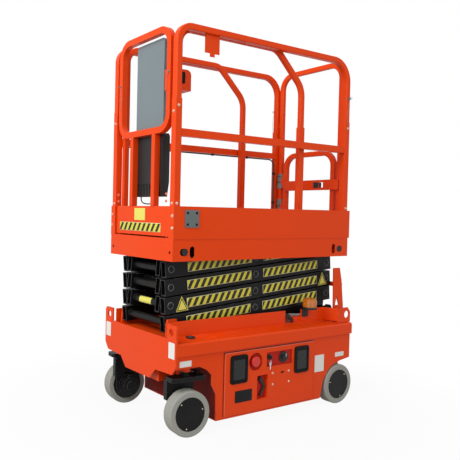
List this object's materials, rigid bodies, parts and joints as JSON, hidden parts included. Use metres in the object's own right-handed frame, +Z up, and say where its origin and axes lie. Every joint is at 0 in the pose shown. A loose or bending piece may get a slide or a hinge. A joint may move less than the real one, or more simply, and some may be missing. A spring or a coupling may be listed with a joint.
{
  "type": "scissor lift",
  "caption": "Compact electric scissor lift with folded arms, guard rails, roll-out deck, rear gate, side doors and steered front wheels.",
  "frame": {"origin": "floor level, midway along and across the machine", "axes": "+X towards the steered front wheels, +Y to the left side, +Z up"},
  "size_m": [1.4283, 0.7718, 2.213],
  "materials": {
    "orange": "gloss powder coat",
    "black_metal": "semi-gloss paint",
    "steel": "zinc plated",
    "tyre_grey": "non-marking solid rubber",
    "black_plastic": "fine moulded grain",
    "red_plastic": "gloss",
    "amber_lens": "clear moulded lens",
    "grey_panel": "satin",
    "battery": "moulded cases",
    "cable_black": "smooth cable jacket"
  },
  "bodies": {
    "chassis": {"chassis_frame": "orange", "front_panel": "orange", "front_lugs": "orange", "rear_lugs": "orange", "access_ladder": "orange", "battery_pack": "battery", "beacon_base": "black_plastic", "beacon_lens": "amber_lens", "lowering_lever": "black_plastic"},
    "left_door": {"left_door": "orange", "left_door_vents": "black_plastic", "emergency_stop": "red_plastic", "key_switch": "black_plastic", "brake_lever": "black_plastic"},
    "right_door": {"right_door": "orange", "right_door_vents": "black_plastic"},
    "knuckle_left": {"knuckle_left": "black_metal", "drive_motor_left": "black_metal"},
    "knuckle_right": {"knuckle_right": "black_metal", "drive_motor_right": "black_metal"},
    "tie_rod": {"tie_rod": "black_metal"},
    "front_left_wheel": {"tyre_front_left": "tyre_grey", "wheel_front_left": "black_metal"},
    "front_right_wheel": {"tyre_front_right": "tyre_grey", "wheel_front_right": "black_metal"},
    "rear_left_wheel": {"tyre_rear_left": "tyre_grey", "wheel_rear_left": "black_metal"},
    "rear_right_wheel": {"tyre_rear_right": "tyre_grey", "wheel_rear_right": "black_metal"},
    "outer_arms_1": {"outer_arms_1": "black_metal"},
    "inner_arms_1": {"inner_arms_1": "black_metal"},
    "outer_arms_2": {"outer_arms_2": "black_metal"},
    "inner_arms_2": {"inner_arms_2": "black_metal"},
    "outer_arms_3": {"outer_arms_3": "black_metal"},
    "inner_arms_3": {"inner_arms_3": "black_metal"},
    "outer_arms_4": {"outer_arms_4": "black_metal"},
    "inner_arms_4": {"inner_arms_4": "black_metal"},
    "cylinder_barrel": {"cylinder_barrel": "black_metal"},
    "cylinder_rod": {"cylinder_rod": "steel"},
    "platform": {"platform_frame": "orange", "main_rail_left": "orange", "main_rail_right": "orange", "rear_frame": "orange", "control_bracket": "orange", "side_plates": "grey_panel", "gate_hinges": "steel", "rail_cable": "cable_black", "cable_fittings": "black_plastic"},
    "extension": {"extension_deck": "orange", "extension_rail_left": "orange", "extension_rail_right": "orange", "extension_end_frame": "orange", "front_board": "grey_panel", "storage_box": "black_plastic", "control_guard": "orange", "control_box": "black_plastic", "box_cable": "cable_black"},
    "rear_gate": {"rear_gate": "orange", "gate_latch": "black_plastic"}
  },
  "joints": [
    {"name": "lift", "type": "hinge", "parent": "chassis", "child": "outer_arms_1", "pos_m": [0.632, 0, 0.59], "axis": [0, 1, 0], "range_deg": [0, 35.6]},
    {"name": "cross_1", "type": "hinge", "parent": "outer_arms_1", "child": "inner_arms_1", "pos_m": [0.0075, 0, 0.64], "axis": [0, 1, 0], "range_deg": [-71.2, 0]},
    {"name": "front_1", "type": "hinge", "parent": "inner_arms_1", "child": "outer_arms_2", "pos_m": [0.632, 0, 0.69], "axis": [0, 1, 0], "range_deg": [0, 71.2]},
    {"name": "cross_2", "type": "hinge", "parent": "outer_arms_2", "child": "inner_arms_2", "pos_m": [0.0075, 0, 0.74], "axis": [0, 1, 0], "range_deg": [-71.2, 0]},
    {"name": "front_2", "type": "hinge", "parent": "inner_arms_2", "child": "outer_arms_3", "pos_m": [0.632, 0, 0.79], "axis": [0, 1, 0], "range_deg": [0, 71.2]},
    {"name": "cross_3", "type": "hinge", "parent": "outer_arms_3", "child": "inner_arms_3", "pos_m": [0.0075, 0, 0.84], "axis": [0, 1, 0], "range_deg": [-71.2, 0]},
    {"name": "front_3", "type": "hinge", "parent": "inner_arms_3", "child": "outer_arms_4", "pos_m": [0.632, 0, 0.89], "axis": [0, 1, 0], "range_deg": [0, 71.2]},
    {"name": "cross_4", "type": "hinge", "parent": "outer_arms_4", "child": "inner_arms_4", "pos_m": [0.0075, 0, 0.94], "axis": [0, 1, 0], "range_deg": [-71.2, 0]},
    {"name": "platform_level", "type": "hinge", "parent": "inner_arms_4", "child": "platform", "pos_m": [0.632, 0, 0.99], "axis": [0, 1, 0], "range_deg": [0, 35.6]},
    {"name": "cylinder_swing", "type": "hinge", "parent": "inner_arms_1", "child": "cylinder_barrel", "pos_m": [-0.44214, 0, 0.604], "axis": [0, 1, 0], "range_deg": [-16.93, 0]},
    {"name": "cylinder_stroke", "type": "slide", "parent": "cylinder_barrel", "child": "cylinder_rod", "axis": [0.983, 0, 0.1836], "range_m": [0, 0.63413]},
    {"name": "steer_left", "type": "hinge", "parent": "chassis", "child": "knuckle_left", "pos_m": [0.585, 0.306, 0.34], "axis": [0, 0, 1], "range_deg": [-55.2, 64.8]},
    {"name": "steer_right", "type": "hinge", "parent": "chassis", "child": "knuckle_right", "pos_m": [0.585, -0.306, 0.34], "axis": [0, 0, 1], "range_deg": [-55.2, 64.8]},
    {"name": "tie_rod_turn", "type": "hinge", "parent": "knuckle_left", "child": "tie_rod", "pos_m": [0.50528, 0.31269, 0.322], "axis": [0, 0, 1], "range_deg": [-64.8, 55.2]},
    {"name": "spin_front_left", "type": "hinge", "parent": "knuckle_left", "child": "front_left_wheel", "pos_m": [0.58734, 0.3339, 0.125], "axis": [0.0837, 0.9965, 0], "continuous": true},
    {"name": "spin_rear_left", "type": "hinge", "parent": "chassis", "child": "rear_left_wheel", "pos_m": [-0.589, 0.334, 0.125], "axis": [0, 1, 0], "continuous": true},
    {"name": "spin_front_right", "type": "hinge", "parent": "knuckle_right", "child": "front_right_wheel", "pos_m": [0.58266, -0.3339, 0.125], "axis": [0.0837, 0.9965, 0], "continuous": true},
    {"name": "spin_rear_right", "type": "hinge", "parent": "chassis", "child": "rear_right_wheel", "pos_m": [-0.589, -0.334, 0.125], "axis": [0, 1, 0], "continuous": true},
    {"name": "left_door_hinge", "type": "hinge", "parent": "chassis", "child": "left_door", "pos_m": [-0.345, 0.3695, 0.25], "axis": [0, 0, 1], "range_deg": [0, 100]},
    {"name": "right_door_hinge", "type": "hinge", "parent": "chassis", "child": "right_door", "pos_m": [-0.345, -0.3695, 0.25], "axis": [0, 0, -1], "range_deg": [0, 100]},
    {"name": "roll_out", "type": "slide", "parent": "platform", "child": "extension", "axis": [1, 0, 0], "range_m": [0, 0.6]},
    {"name": "gate_hinge", "type": "hinge", "parent": "platform", "child": "rear_gate", "pos_m": [-0.653, -0.238, 1.36], "axis": [0, 0, -1], "range_deg": [0, 80]}
  ],
  "couplings": [
    {"joint": "cross_1", "follows": "lift", "ratio": -2},
    {"joint": "front_1", "follows": "lift", "ratio": 2},
    {"joint": "cross_2", "follows": "lift", "ratio": -2},
    {"joint": "front_2", "follows": "lift", "ratio": 2},
    {"joint": "cross_3", "follows": "lift", "ratio": -2},
    {"joint": "front_3", "follows": "lift", "ratio": 2},
    {"joint": "cross_4", "follows": "lift", "ratio": -2},
    {"joint": "platform_level", "follows": "lift", "ratio": 1},
    {"joint": "cylinder_swing", "follows": "lift", "ratio": -0.47495},
    {"joint": "cylinder_stroke", "follows": "lift", "m_per_rad": 1.0196},
    {"joint": "steer_right", "follows": "steer_left", "ratio": 1},
    {"joint": "tie_rod_turn", "follows": "steer_left", "ratio": -1}
  ]
}
